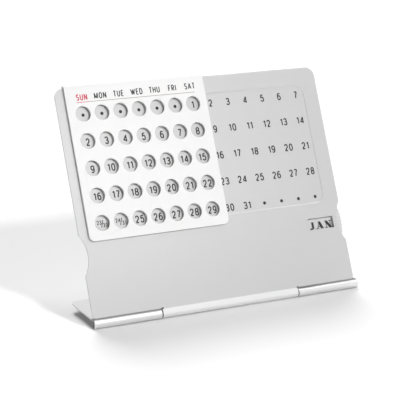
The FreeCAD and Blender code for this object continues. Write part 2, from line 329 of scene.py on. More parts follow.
# %% White enamel
def white_enamel():
    """Stoved white paint with orange peel and a faint handling bloom."""
    material, tree, shader = new_finish("white_enamel")
    even = sheet_coordinates(tree, lean)
    peel = noise(tree, even, 900.0, 2.0, 0.45)
    bloom = noise(tree, even, 34.0, 3.0)
    specks = noise(tree, even, 5200.0, 1.0)
    colour = blend_colours(tree, bloom * 0.7 + specks * 0.3, grey(0.775), grey(0.825, 0.004))
    fill(tree, shader, {
        "Base Color": colour, "Roughness": 0.36 + bloom * 0.1,
        "Coat Weight": 0.1 + bloom * 0.12, "Coat Roughness": 0.25,
        "Normal": bump(tree, peel, 0.12, 0.00006)})
    return material


enamel_finish = white_enamel()
print("white enamel for the slider")

# %% [markdown]
# Screen-printed ink is a dull film that is never quite even, so its tone and gloss vary a little
# over a few tenths of a millimetre. One function makes the black ink, the red one and the brownish
# one of the rule.

# %% Printing ink
def printing_ink(name, thin, thick):
    """Dull ink film between a thin and a thick tone."""
    material, tree, shader = new_finish(name)
    even = sheet_coordinates(tree, lean)
    film = noise(tree, even, 2400.0, 2.0, 0.6)
    fill(tree, shader, {
        "Base Color": blend_colours(tree, film, thick, thin), "Roughness": 0.5 + film * 0.15,
        "Normal": bump(tree, film, 0.1, 0.00002)})
    return material


black_ink = printing_ink("black_ink", grey(0.035), grey(0.012))
red_ink = printing_ink("red_ink", (0.62, 0.08, 0.12, 1.0), (0.52, 0.03, 0.06, 1.0))
rule_ink = printing_ink("rule_ink", (0.4, 0.33, 0.33, 1.0), (0.32, 0.26, 0.26, 1.0))
print("inks ready")

# %% [markdown]
# Moulded and turned finishes. The month wheel is a light-grey plastic with the fine texture of a
# spark-eroded mould. The steel pieces are turned, so their lines run round or along them. Nylon is
# nearly black and slightly waxy, and the feet are dull rubber with a talc bloom.

# %% Moulded and turned finishes
def moulded(name, turn, level, roughness, grain_scale, depth):
    """Plastic, nylon or rubber with the skin of its mould."""
    material, tree, shader = new_finish(name)
    even = sheet_coordinates(tree, turn)
    skin = noise(tree, even, grain_scale, 3.0, 0.6)
    bloom = noise(tree, even, 60.0)
    tone = skin * 0.4 + bloom * 0.6
    fill(tree, shader, {
        "Base Color": blend_colours(tree, tone, grey(level * 0.9), grey(level * 1.1)),
        "Roughness": roughness + skin * 0.12, "Normal": bump(tree, skin, 0.3, depth)})
    return material


def turned_steel():
    """Bright steel with fine tool marks."""
    material, tree, shader = new_finish("turned_steel")
    even = sheet_coordinates(tree, 0.0)
    marks = noise(tree, even, 6000.0, 2.0, 0.7)
    tarnish = noise(tree, even, 300.0, 3.0)
    fill(tree, shader, {
        "Metallic": 1.0, "Base Color": blend_colours(tree, tarnish, grey(0.5), grey(0.62, 0.01)),
        "Roughness": 0.22 + marks * 0.14, "Normal": bump(tree, marks, 0.15, 0.00002)})
    return material


wheel_finish = moulded("wheel_plastic", lean, level=0.6, roughness=0.42, grain_scale=3000.0, depth=0.00003)
nylon_finish = moulded("dark_nylon", 0.0, level=0.022, roughness=0.38, grain_scale=2500.0, depth=0.00002)
rubber_finish = moulded("foot_rubber", 0.0, level=0.018, roughness=0.68, grain_scale=3800.0, depth=0.00005)
steel_finish = turned_steel()
print("materials made:", len(bpy.data.materials))

# %% [markdown]
# Outlines are lists of points, counter-clockwise. Straight runs need only their ends, and every
# round stretch is an arc of a few degrees a step, so an outline has no more points than its shape
# needs.

# %% Outline helpers
def arc_points(centre, radius, start, end, steps):
    """Points along an arc between two angles in degrees, both ends included."""
    points = []
    for step in range(steps + 1):
        angle = math.radians(start + (end - start) * step / steps)
        points.append((centre[0] + radius * math.cos(angle), centre[1] + radius * math.sin(angle)))
    return points


def round_corner(x, y, radius, start, steps):
    """Quarter arc that rounds the sharp corner at x, y of an outline, from its start in degrees."""
    inward_x, inward_y = {-90.0: (-1, 1), 0.0: (-1, -1), 90.0: (1, -1), 180.0: (1, 1)}[start]
    centre = (x + inward_x * radius, y + inward_y * radius)
    return arc_points(centre, radius, start, start + 90.0, steps)


def rounded_rectangle(left, right, bottom, top, radius, steps=10):
    """Closed outline of a rectangle with round corners."""
    corners = [(right, bottom, -90.0), (right, top, 0.0), (left, top, 90.0), (left, bottom, 180.0)]
    points = []
    for x, y, start in corners:
        points += round_corner(x, y, radius, start, steps)
    return points


def at_level(points, level):
    """Flat points lifted to one level."""
    return [Vector((x, y, level)) for x, y in points]


def turn_up(faces):
    """Turn over the faces that look down."""
    for face in faces:
        face.normal_update()
        if face.normal.z < 0.0:
            face.normal_flip()


def add_flat(shape, loops, level):
    """Fill the first outline at one level, leaving the others as holes, with the face upwards."""
    corners = [at_level(loop, level) for loop in loops]
    points = [shape.verts.new(corner) for loop in corners for corner in loop]
    triangles = tessellate_polygon(corners)
    turn_up([shape.faces.new([points[index] for index in triangle]) for triangle in triangles])


def add_strip(shape, sections, closed=False):
    """Quads between following rows of points; a closed row joins its last point to its first."""
    rows = [[shape.verts.new(point) for point in section] for section in sections]
    for low, high in zip(rows, rows[1:]):
        count = len(low)
        last = count if closed else count - 1
        for index in range(last):
            following = (index + 1) % count
            shape.faces.new((low[index], low[following], high[following], high[index]))


print("outline helpers ready")

# %% [markdown]
# A sheet-metal piece is one surface, its outer face, cut and folded with no thickness. Solidify
# then gives the sheet its real thickness inwards, Bevel breaks the cut edges as tumbling does, and
# Weighted Normal keeps the flats flat in the light. The modifiers are turned into a plain mesh, and
# only then is the drawing moved to its place, so that the object itself stays at the origin.

# %% Sheet-metal helpers
merge_distance = 0.0005
edge_break = 0.12
bevel_from = 50.0


def mesh_from(shape, name, merged=True):
    """Plain mesh of a finished bmesh, its touching points joined."""
    if merged:
        bmesh.ops.remove_doubles(shape, verts=shape.verts, dist=merge_distance)
    mesh = bpy.data.meshes.new(name)
    shape.to_mesh(mesh)
    shape.free()
    return mesh


def evaluated_mesh(piece):
    """Plain mesh of an object with all its modifiers applied; the object goes."""
    bpy.context.view_layer.update()
    graph = bpy.context.evaluated_depsgraph_get()
    final = piece.evaluated_get(graph)
    mesh = bpy.data.meshes.new_from_object(final, preserve_all_data_layers=True, depsgraph=graph)
    bpy.data.objects.remove(piece)
    return mesh


def linked(name, data):
    """Object in the scene."""
    piece = bpy.data.objects.new(name, data)
    scene.collection.objects.link(piece)
    return piece


def smooth(mesh, sharp_from=None):
    """Smooth shading, with the edges sharp from an angle in degrees."""
    for polygon in mesh.polygons:
        polygon.use_smooth = True
    if sharp_from:
        mesh.set_sharp_from_angle(angle=math.radians(sharp_from))


def add_modifier(piece, name, kind, **settings):
    """Modifier with its settings."""
    modifier = piece.modifiers.new(name, kind)
    for setting, value in settings.items():
        setattr(modifier, setting, value)
    return modifier


def thickened(shape, name, thickness=sheet_thickness, edge=edge_break):
    """The sheet with its thickness and broken edges."""
    mesh = mesh_from(shape, name)
    smooth(mesh)
    piece = linked(name, mesh)
    add_modifier(
        piece, "thickness", "SOLIDIFY", thickness=thickness, offset=-1.0, use_even_offset=True,
        use_quality_normals=True)
    add_modifier(
        piece, "broken edges", "BEVEL", width=edge, segments=2, limit_method="ANGLE",
        angle_limit=math.radians(bevel_from), use_clamp_overlap=False)
    add_modifier(piece, "flat shading", "WEIGHTED_NORMAL", keep_sharp=True)
    return evaluated_mesh(piece)


def settled(mesh, name, place, finish, body, replaced=()):
    """The finished piece in its place, with its finish and body, and the nodes that it stands for hidden."""
    mesh.transform(place)
    mesh.materials.clear()
    mesh.materials.append(finish)
    for polygon in mesh.polygons:
        polygon.material_index = 0
    piece = linked(name, mesh)
    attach(piece, body)
    if replaced:
        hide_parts(*replaced)
    low = [min(vertex.co[axis] for vertex in mesh.vertices) / MM for axis in range(3)]
    high = [max(vertex.co[axis] for vertex in mesh.vertices) / MM for axis in range(3)]
    size = " x ".join("%.2f" % (high[axis] - low[axis]) for axis in range(3))
    print("%s: %d faces, %s mm, on %s" % (name, len(mesh.polygons), size, body))


print("sheet-metal helpers ready")

# %% [markdown]
# The rolled hinge. Both leaves are rolled the same way: the sheet runs over the top of the pin,
# down in front of it, under it and up again until its edge nearly meets its own underside. So one
# function makes every knuckle, as a strip of narrow quads round the pin.

# %% Rolled knuckles
roll_start = 90.0
pin_bore = barrel_radius - sheet_thickness
seam = 0.2
roll_end = 360.0 + math.degrees(math.asin((pin_bore - seam) / barrel_radius))
roll_steps = 44
relief_steps = 12


def add_knuckle(shape, left, right):
    """Strip rolled round the hinge axis, from the top of the barrel to the seam."""
    sections = []
    for y, z in arc_points((0.0, 0.0), barrel_radius, roll_start, roll_end, roll_steps):
        sections.append([Vector((right, y, z)), Vector((left, y, z))])
    add_strip(shape, sections)


def relief(corner_x, start, end):
    """Round relief punched at the inner corner of a leaf, beside a knuckle."""
    return arc_points((corner_x, leaf_edge), relief_radius, start, end, relief_steps)


print("each knuckle turns through %.0f degrees" % (roll_end - roll_start))

# %% [markdown]
# The base plate lies on the feet. Its two outer knuckles reach forward of the middle edge, and the
# rear corners are round so that they don't scratch the desk.

# %% Base plate
base_corner = 4.5
wide_corner_steps = 12
base_gap_left = base_left + outer_knuckle
base_gap_right = base_right - outer_knuckle


def base_outline():
    """Outline of the base leaf, counter-clockwise from its front left knuckle."""
    points = [(base_left, 0.0), (base_gap_left, 0.0)]
    points += relief(base_gap_left, 270.0, 0.0)
    points += relief(base_gap_right, 180.0, -90.0)
    points += [(base_gap_right, 0.0), (base_right, 0.0)]
    points += round_corner(base_right, base_depth, base_corner, 0.0, wide_corner_steps)
    points += round_corner(base_left, base_depth, base_corner, 90.0, wide_corner_steps)
    return points


shape = bmesh.new()
add_flat(shape, [base_outline()], barrel_radius)
add_knuckle(shape, base_left, base_gap_left)
add_knuckle(shape, base_gap_right, base_right)
settled(
    thickened(shape, "base_sheet"), "base_leaf", on_table, base_finish,
    "base", ["base_plate"])

# %% [markdown]
# The front panel is the same kind of leaf, leaned back. It has a pressed recess for the printed
# dates, a window for the month and a finger notch in each side. The notch is an arc blended into
# the straight edge by a smaller arc, and both tangent points are worked out from the two radii.

# %% Front panel outline
notch_chord = 21.0
notch_depth = 3.2
notch_blend = 2.0
notch_steps = 20
top_corner = 5.0
bottom_corner = 1.8
small_corner_steps = 6
middle_left = base_gap_left + knuckle_gap
middle_right = base_gap_right - knuckle_gap


def notch_points():
    """Left finger notch from top to bottom, as x depth and height pairs."""
    radius = (notch_chord ** 2 / 4.0 + notch_depth ** 2) / (2.0 * notch_depth)
    centre_x = notch_depth - radius
    reach = math.sqrt((radius + notch_blend) ** 2 - (notch_blend - centre_x) ** 2)
    turn = math.degrees(math.atan2(reach, notch_blend - centre_x))
    middle = wheel_centre.y
    points = arc_points((notch_blend, middle + reach), notch_blend, 180.0, 180.0 + turn, small_corner_steps)
    points += arc_points((centre_x, middle), radius, turn, -turn, notch_steps)
    points += arc_points((notch_blend, middle - reach), notch_blend, 180.0 - turn, 180.0, small_corner_steps)
    return points


def panel_outline():
    """Outline of the front leaf, counter-clockwise from the middle knuckle's left end."""
    points = [(middle_left, 0.0), (middle_right, 0.0)]
    points += relief(middle_right, 270.0, 0.0)
    points += round_corner(panel_width, leaf_edge, bottom_corner, -90.0, small_corner_steps)
    points += [(panel_width - x, y) for x, y in reversed(notch_points())]
    points += round_corner(panel_width, panel_height, top_corner, 0.0, wide_corner_steps)
    points += round_corner(0.0, panel_height, top_corner, 90.0, wide_corner_steps)
    points += notch_points()
    points += round_corner(0.0, leaf_edge, bottom_corner, 180.0, small_corner_steps)
    points += relief(middle_left, 180.0, -90.0)
    return points


print("panel outline has", len(panel_outline()), "points")

# %% [markdown]
# The recess is pressed, so its wall isn't a knife edge: it runs from the face to the floor in a
# soft S. Rings of one rounded rectangle, each a little smaller and lower, draw that wall, and the
# smoothstep curve 3t^2 - 2t^3 gives the S.

# %% Front panel with its pressed recess
wall_outset = 0.12
wall_run = 0.74
wall_rings = 9


def recess_ring(inset):
    """Outline of the recess, moved inwards."""
    return rounded_rectangle(
        recess_left + inset, recess_right - inset, recess_bottom + inset, recess_top - inset,
        recess_corner - inset)


def recess_rings():
    """Rings down the pressed wall, from the face to the floor."""
    rings = []
    for step in range(wall_rings):
        share = step / (wall_rings - 1)
        inset = wall_run * share - wall_outset
        level = barrel_radius - recess_depth * (3.0 * share ** 2 - 2.0 * share ** 3)
        rings.append(at_level(recess_ring(inset), level))
    return rings


window_outline = rounded_rectangle(
    window_centre.x - window_size.x / 2.0, window_centre.x + window_size.x / 2.0,
    window_centre.y - window_size.y / 2.0, window_centre.y + window_size.y / 2.0, window_corner, 4)

shape = bmesh.new()
add_flat(shape, [panel_outline(), recess_ring(-wall_outset), window_outline], barrel_radius)
add_flat(shape, [recess_ring(wall_run - wall_outset)], recess_floor)
add_strip(shape, recess_rings(), closed=True)
add_knuckle(shape, middle_left, middle_right)
settled(
    thickened(shape, "panel_sheet"), "panel_leaf", on_panel, panel_finish,
    "panel", ["front_panel"])

# %% [markdown]
# Geometry Nodes make what repeats. run_tree is the one place where a tree is used: it puts a tree
# on an object, sets the tree's named inputs by their socket identifiers before anything is
# evaluated, and returns the plain mesh.

# %% Geometry Nodes helpers
def new_tree(name, inputs):
    """Geometry tree with named inputs and a Material, and the sockets that give them."""
    tree = bpy.data.node_groups.new(name, "GeometryNodeTree")
    for label, kind in {"Geometry": "Geometry", **inputs, "Material": "Material"}.items():
        tree.interface.new_socket(label, in_out="INPUT", socket_type="NodeSocket" + kind)
    tree.interface.new_socket("Geometry", in_out="OUTPUT", socket_type="NodeSocketGeometry")
    return tree, make_node(tree, "NodeGroupInput").outputs


def finish_tree(tree, given, geometry):
    """Close a tree: real geometry first, then its material."""
    real = make_node(tree, "GeometryNodeRealizeInstances", None, {"Geometry": geometry})
    merged = make_node(tree, "GeometryNodeMergeByDistance", None, {
        "Geometry": real.outputs["Geometry"], "Distance": merge_distance})
    painted = make_node(tree, "GeometryNodeSetMaterial", None, {
        "Geometry": merged.outputs["Geometry"], "Material": given["Material"]})
    make_node(tree, "NodeGroupOutput", None, {"Geometry": painted.outputs["Geometry"]})
    return tree


def copies_on(tree, points, piece, extra=None):
    """Copies of a piece, one on every point."""
    node = make_node(tree, "GeometryNodeInstanceOnPoints", None, {
        "Points": points, "Instance": piece, **(extra or {})})
    return node.outputs["Instances"]


def labels_on(tree, points, labels, choice, extra=None):
    """Labels of a collection, the one of a chosen number on every point."""
    members = make_node(tree, "GeometryNodeCollectionInfo", None, {
        "Collection": labels, "Separate Children": True, "Reset Children": True})
    picks = {"Pick Instance": True, "Instance Index": choice, **(extra or {})}
    return copies_on(tree, points, members.outputs["Instances"], picks)


def around_circle(tree, count, circle):
    """Points for even steps of a circle, with their numbers and their turns."""
    points = make_node(tree, "GeometryNodePoints", None, {"Count": count})
    index = field(tree, make_node(tree, "GeometryNodeInputIndex"), "Index")
    turn = make_node(tree, "ShaderNodeCombineXYZ", None, {"Z": index * circle / Value(tree, count)})
    return points.outputs["Points"], index, {"Rotation": turn.outputs["Vector"]}


def run_tree(tree, start_mesh, values):
    """Plain mesh that the tree makes from a start mesh and its named inputs."""
    piece = linked(tree.name, start_mesh)
    modifier = add_modifier(piece, tree.name, "NODES", node_group=tree)
    inputs = [item for item in tree.interface.items_tree if item.in_out == "INPUT"]
    identifiers = {item.name: item.identifier for item in inputs}
    for label, value in values.items():
        modifier[identifiers[label]] = value
    return evaluated_mesh(piece)


print("geometry helpers ready")

# %% [markdown]
# The slider is one plate with a hole for every day of five weeks. The holes stand on a grid, so a
# tree punches them: a circle on every point of a grid, joined to the plate's outline and filled,
# because Fill Curve leaves an outline inside another one open.

# %% Slider: the punched face
slider_thickness = 1.2
slider_gap = 0.3
slider_side_band = 8.05
slider_band_below = 8.7
slider_left = first_column - slider_side_band
slider_right = first_column + (week_columns - 1) * column_pitch + slider_side_band
slider_bottom = last_row - slider_band_below
slider_corner = 3.0
slider_corner_steps = 8
slider_hole_radius = 4.0
slider_hole_steps = 48
slider_face = barrel_radius + slider_gap + slider_thickness
hook_play = 0.1
half_sheet = sheet_thickness / 2.0
bend_level = barrel_radius - half_sheet
bend_radius = slider_face - bend_level
bend_rise = math.sqrt((half_sheet + slider_gap) ** 2 - half_sheet ** 2)
bend_start = panel_height + hook_play - bend_rise


def punching_tree():
    """Tree that fills an outline and leaves a grid of round holes in it."""
    tree, given = new_tree("punched_days", {
        "Columns": "Int", "Rows": "Int", "Width": "Float", "Height": "Float",
        "Centre": "Vector", "Hole Radius": "Float", "Hole Steps": "Int"})
    outline = make_node(tree, "GeometryNodeMeshToCurve", None, {"Mesh": given["Geometry"]})
    grid = make_node(tree, "GeometryNodeMeshGrid", None, {
        "Size X": given["Width"], "Size Y": given["Height"],
        "Vertices X": given["Columns"], "Vertices Y": given["Rows"]})
    moved = make_node(tree, "GeometryNodeTransform", None, {
        "Geometry": grid.outputs["Mesh"], "Translation": given["Centre"]})
    circle = make_node(tree, "GeometryNodeCurvePrimitiveCircle", None, {
        "Resolution": given["Hole Steps"], "Radius": given["Hole Radius"]})
    holes = copies_on(tree, moved.outputs["Geometry"], circle.outputs["Curve"])
    real = make_node(tree, "GeometryNodeRealizeInstances", None, {"Geometry": holes})
    joined = make_node(tree, "GeometryNodeJoinGeometry")
    fill(tree, joined, {"Geometry": outline.outputs["Curve"]})
    fill(tree, joined, {"Geometry": real.outputs["Geometry"]})
    filled = make_node(tree, "GeometryNodeFillCurve", None, {"Curve": joined.outputs["Geometry"]})
    return finish_tree(tree, given, filled.outputs["Mesh"])


def outline_mesh(name, points, level):
    """Closed loop of edges."""
    mesh = bpy.data.meshes.new(name)
    edges = [(index, (index + 1) % len(points)) for index in range(len(points))]
    mesh.from_pydata(at_level(points, level), edges, [])
    return mesh


def hanging_outline(bottom, corner, steps):
    """Outline of a plate that hangs from the hook, its two lower corners round."""
    points = round_corner(slider_right, bottom, corner, -90.0, steps)
    points += [(slider_right, bend_start), (slider_left, bend_start)]
    points += round_corner(slider_left, bottom, corner, 180.0, steps)
    return points


slider_outline = hanging_outline(slider_bottom, slider_corner, slider_corner_steps)
days_width = (week_columns - 1) * column_pitch
days_height = (grid_rows - 1) * row_pitch
days_centre = (first_column + days_width / 2.0, last_row + days_height / 2.0, 0.0)
punched = run_tree(punching_tree(), outline_mesh("slider_outline", slider_outline, 0.0), {
    "Columns": week_columns, "Rows": grid_rows, "Width": days_width, "Height": days_height,
    "Centre": days_centre, "Hole Radius": slider_hole_radius, "Hole Steps": slider_hole_steps,
    "Material": enamel_finish})
print("punched face: %d faces" % len(punched.polygons))
print("slider from %.2f to %.2f mm" % (slider_left, slider_right))

# %% [markdown]
# The hook is folded on after the punching, as in the workshop: a half turn over the panel's top
# edge and a short lip behind it, whose lower corners are round. The strip starts on the punched
# face's top edge, so the two merge into one surface.

# %% Slider: the hook
lip_length = 6.5
lip_end = panel_height - lip_length
lip_corner = 1.5
lip_level = bend_level - bend_radius
bend_steps = 20
slider_edge_break = 0.14

shape = bmesh.new()
shape.from_mesh(punched)
for vertex in shape.verts:
    vertex.co.z = slider_face
turn_up(shape.faces)

sections = []
for rise, level in arc_points((0.0, bend_level), bend_radius, 90.0, -90.0, bend_steps):
    height = bend_start + rise
    sections.append([Vector((slider_left, height, level)), Vector((slider_right, height, level))])
add_strip(shape, sections)

lip_points = hanging_outline(lip_end, lip_corner, small_corner_steps)
shape.faces.new([shape.verts.new(point) for point in at_level(lip_points[::-1], lip_level)])

settled(
    thickened(shape, "slider_sheet", slider_thickness, slider_edge_break), "slider_plate",
    on_panel, enamel_finish, "slider", ["calendar_slider"])

# %% [markdown]
# The month wheel is the same all the way round, so it is one tooth repeated. The tooth is a narrow
# sector of the whole wheel: bore, hub, thinner web and rim, with a wave of the rim for the grip. A
# tree turns a copy of it to every step of the circle and merges the seams.

# %% Month wheel
wheel_radius = 30.0
wheel_teeth = 96
tooth_depth = 0.4
tooth_steps = 4
wheel_thickness = 1.2
wheel_front = 0.4
rim_break = 0.15
wheel_sharp_from = 32.0


def spoke(profile, angle):
    """Profile of radius and level pairs, turned about z by an angle."""
    return [Vector((radius * math.cos(angle), radius * math.sin(angle), level)) for radius, level in profile]


def wheel_profile(outer):
    """Section of the wheel as radius and level pairs, from the bore's back edge and round."""
    hub = 7.0
    rim = wheel_radius - 3.6
    bore = 2.05
    web = 0.4
    edge = 0.1
    step = 0.08
    fillet = 0.2
    fillet_side, fillet_rise = 0.05, 0.06
    return [
        (bore, edge), (bore + edge, 0.0), (hub - step, 0.0), (hub, step),
        (hub + fillet_side, web - fillet_rise), (hub + fillet, web),
        (rim - fillet, web), (rim - fillet_side, web - fillet_rise),
        (rim, step), (rim + step, 0.0), (outer - rim_break, 0.0), (outer, rim_break),
        (outer, wheel_thickness - rim_break), (outer - rim_break, wheel_thickness),
        (bore + edge, wheel_thickness), (bore, wheel_thickness - edge)]


def tooth_mesh():
    """One sector of the wheel, a tooth wide."""
    shape = bmesh.new()
    sections = []
    for step in range(tooth_steps + 1):
        angle = math.tau * step / (tooth_steps * wheel_teeth)
        wave = (1.0 + math.cos(math.tau * step / tooth_steps)) / 2.0
        outer = wheel_radius - tooth_depth * (1.0 - wave)
        sections.append(spoke(wheel_profile(outer), angle))
    add_strip(shape, sections, closed=True)
    return mesh_from(shape, "tooth")


def turning_tree():
    """Tree that turns copies of the piece to even steps of a full circle."""
    tree, given = new_tree("turned_copies", {"Copies": "Int"})
    points, _, turn = around_circle(tree, given["Copies"], math.tau)
    return finish_tree(tree, given, copies_on(tree, points, given["Geometry"], turn))


wheel_place = on_panel @ Matrix.Translation((wheel_centre.x, wheel_centre.y, wheel_front - wheel_thickness))
wheel_mesh = run_tree(turning_tree(), tooth_mesh(), {"Copies": wheel_teeth, "Material": wheel_finish})
smooth(wheel_mesh, wheel_sharp_from)
settled(wheel_mesh, "month_dial", wheel_place, wheel_finish, "wheel", ["month_wheel"])

# %% [markdown]
# Four rubber feet, one drawing. The foot is a turned profile with a soft lower edge, and a tree
# stands it on the four corners of a grid.

# %% Rubber feet
foot_radius = 3.2
foot_height = hinge_point.z / MM + pin_bore
foot_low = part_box("front_left_foot")[0]
rear_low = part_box("rear_right_foot")[0]
foot_front_y = (foot_low.y - hinge_point.y) / MM + foot_radius
foot_rear_y = (rear_low.y - hinge_point.y) / MM + foot_radius
foot_inset = 8.0
foot_left_x = base_left + foot_inset
foot_right_x = base_right - foot_inset
foot_sharp_from = 35.0
foot_steps = 40


def lathe(profile, steps):
    """Surface turned about z from a profile that starts and ends on the axis."""
    shape = bmesh.new()
    add_strip(shape, [spoke(profile, math.tau * step / steps) for step in range(steps + 1)])
    return shape


def foot_mesh():
    """Rubber foot, from the underside up, with its top against the base plate."""
    edge = 0.3
    profile = [(0.0, -foot_height)]
    profile += arc_points((foot_radius - edge, edge - foot_height), edge, -90.0, 0.0, 5)
    profile += [(foot_radius, -0.1), (foot_radius - 0.1, 0.0), (0.0, 0.0)]
    return mesh_from(lathe(profile, foot_steps), "foot")


def corner_tree():
    """Tree that stands copies of the piece on the corners of a rectangle."""
    tree, given = new_tree("four_corners", {"Width": "Float", "Depth": "Float"})
    grid = make_node(tree, "GeometryNodeMeshGrid", None, {
        "Size X": given["Width"], "Size Y": given["Depth"], "Vertices X": 2, "Vertices Y": 2})
    return finish_tree(tree, given, copies_on(tree, grid.outputs["Mesh"], given["Geometry"]))


feet_mesh = run_tree(corner_tree(), foot_mesh(), {
    "Width": foot_right_x - foot_left_x, "Depth": foot_rear_y - foot_front_y, "Material": rubber_finish})
feet_middle = ((foot_left_x + foot_right_x) / 2.0, (foot_front_y + foot_rear_y) / 2.0, pin_bore)
feet_place = on_table @ Matrix.Translation(feet_middle)
smooth(feet_mesh, foot_sharp_from)
settled(
    feet_mesh, "rubber_feet", feet_place, rubber_finish, "base",
    ["front_left_foot", "front_right_foot", "rear_left_foot", "rear_right_foot"])

# %% [markdown]
# Lettering is ink with a real thickness of a few hundredths of a millimetre. A sign is drawn as a
# sign writer draws it, as strokes of a pen along centre lines in a unit square, and not taken from
# a font, so that its weight and width can be set by themselves. bow gives the points of an
# elliptical arc, a little squarer than a true ellipse, as plain upright numerals are, and run gives
# a straight stroke. Each sign has its width beside its height of 1, and then its strokes.

# %% Strokes of the numerals
def bow(centre_x, centre_y, radius_x, radius_y, start, end, steps=14):
    """Points along an upright oval between two angles in degrees."""
    squareness = 0.86
    points = []
    for step in range(steps + 1):
        angle = math.radians(start + (end - start) * step / steps)
        across = math.copysign(abs(math.cos(angle)) ** squareness, math.cos(angle))
        along = math.copysign(abs(math.sin(angle)) ** squareness, math.sin(angle))
        points.append((centre_x + radius_x * across, centre_y + radius_y * along))
    return points


def oval(centre_x, centre_y, radius_x, radius_y):
    """Whole oval, as two strokes that overlap a little at their ends."""
    right = bow(centre_x, centre_y, radius_x, radius_y, -94.0, 94.0, 20)
    left = bow(centre_x, centre_y, radius_x, radius_y, 86.0, 274.0, 20)
    return [right, left]


def run(*numbers):
    """Straight stroke through points given as x, y, x, y."""
    return list(zip(numbers[0::2], numbers[1::2]))


six = oval(0.5, 0.31, 0.5, 0.31) + [bow(0.54, 0.5, 0.54, 0.5, 48.0, 180.0) + [(0.0, 0.3)]]
signs = {
    "0": (0.56, oval(0.5, 0.5, 0.5, 0.5)),
    "1": (0.34, [run(1, 0, 1, 1), run(0, 0.8, 1, 1)]),
    "2": (0.54, [bow(0.5, 0.71, 0.48, 0.29, 172, -32) + [(0.03, 0.02)], run(0, 0, 1, 0)]),
    "3": (0.54, [bow(0.48, 0.75, 0.45, 0.25, 165, -92), bow(0.48, 0.26, 0.52, 0.26, 92, -165),
                 run(0.3, 0.51, 0.52, 0.51)]),
    "4": (0.62, [run(0.76, 0, 0.76, 1), run(0.78, 1, 0, 0.25), run(0, 0.22, 1, 0.22)]),
    "5": (0.54, [run(0.12, 1, 0.93, 1), run(0.15, 1, 0.06, 0.48), bow(0.48, 0.33, 0.52, 0.33, 142, -165)]),
    "6": (0.54, six),
    "7": (0.54, [run(0, 1, 1, 1), run(0.98, 0.98, 0.7, 0.62, 0.48, 0.3, 0.38, 0)]),
    "8": (0.55, oval(0.5, 0.755, 0.44, 0.245) + oval(0.5, 0.265, 0.5, 0.265)),
    "9": (0.54, [[(1.0 - x, 1.0 - y) for x, y in stroke] for stroke in six]),
    "/": (0.42, [run(0, -0.02, 1, 1.02)]),
}
print("numerals drawn:", len(signs) - 1)

# %% [markdown]
# The capitals of the weekday and month names are drawn in the same way, and only the ones that
# those names use.

# %% Strokes of the capitals
stem = run(0, 0, 0, 1)
far_stem = run(1, 0, 1, 1)
top_arm = run(0, 1, 1, 1)
foot_arm = run(0, 0, 1, 0)
high_bowl = [(0, 1)] + bow(0.45, 0.74, 0.5, 0.26, 90, -90) + [(0, 0.48)]
low_bowl = [(0, 0.52)] + bow(0.45, 0.26, 0.55, 0.26, 90, -90) + [(0, 0)]
signs.update({
    "A": (0.68, [run(0, 0, 0.5, 1), run(0.5, 1, 1, 0), run(0.16, 0.3, 0.84, 0.3)]),
    "B": (0.58, [stem, high_bowl, low_bowl]),
    "C": (0.6, [bow(0.5, 0.5, 0.5, 0.5, 48, 312, 24)]),
    "D": (0.62, [stem, [(0, 1)] + bow(0.4, 0.5, 0.6, 0.5, 90, -90, 20) + [(0, 0)]]),
    "E": (0.52, [stem, top_arm, run(0, 0.52, 0.9, 0.52), foot_arm]),
    "F": (0.5, [stem, top_arm, run(0, 0.52, 0.86, 0.52)]),
    "G": (0.62, [bow(0.5, 0.5, 0.5, 0.5, 48, 325, 24), run(1, 0.1, 1, 0.46), run(0.55, 0.46, 1, 0.46)]),
    "H": (0.62, [stem, far_stem, run(0, 0.52, 1, 0.52)]),
    "I": (0.0, [stem]),
    "J": (0.46, [run(0.95, 1, 0.95, 0.22), bow(0.5, 0.24, 0.45, 0.24, 4, -160)]),
    "L": (0.5, [stem, foot_arm]),
    "M": (0.78, [stem, far_stem, run(0, 1, 0.5, 0.06), run(0.5, 0.06, 1, 1)]),
    "N": (0.64, [stem, far_stem, run(0, 1, 1, 0)]),
    "O": (0.66, oval(0.5, 0.5, 0.5, 0.5)),
    "P": (0.56, [stem, high_bowl]),
    "R": (0.6, [stem, high_bowl, run(0.42, 0.48, 1, 0)]),
    "S": (0.56, [bow(0.5, 0.75, 0.47, 0.25, 28, 272, 20), bow(0.5, 0.25, 0.5, 0.25, 92, -155, 20)]),
    "T": (0.58, [top_arm, run(0.5, 0, 0.5, 1)]),
    "U": (0.62, [run(0, 1, 0, 0.32), bow(0.5, 0.32, 0.5, 0.32, 176, 364, 20), run(1, 0.32, 1, 1)]),
    "V": (0.66, [run(0, 1, 0.5, 0), run(0.5, 0, 1, 1)]),
    "W": (0.92, [run(0, 1, 0.27, 0), run(0.27, 0, 0.5, 0.9), run(0.5, 0.9, 0.73, 0), run(0.73, 0, 1, 1)]),
    "Y": (0.64, [run(0, 1, 0.5, 0.45), run(1, 1, 0.5, 0.45), run(0.5, 0, 0.5, 0.48)]),
})
print("signs drawn:", len(signs))

# %% [markdown]
# A pen turns each centre line into a ribbon. A round pen is equally wide in every direction, as in
# the plain numerals. A broad pen held at a slant is widest across its nib, which gives the months
# their thick and thin strokes, and each stem end on the top or bottom line gets a thin slab serif.

# %% Pens
def ribbon(points, width_along):
    """Outline of a stroke, from its centre line and a width for each direction."""
    left = []
    right = []
    for index, point in enumerate(points):
        before = Vector(points[max(index - 1, 0)])
        after = Vector(points[min(index + 1, len(points) - 1)])
        along = (after - before).normalized()
        across = Vector((-along.y, along.x)) * width_along(along) / 2.0
        left.append(Vector(point) + across)
        right.append(Vector(point) - across)
    return left + right[::-1]


def round_pen(width):
    """The same width in every direction."""
    return lambda along: width


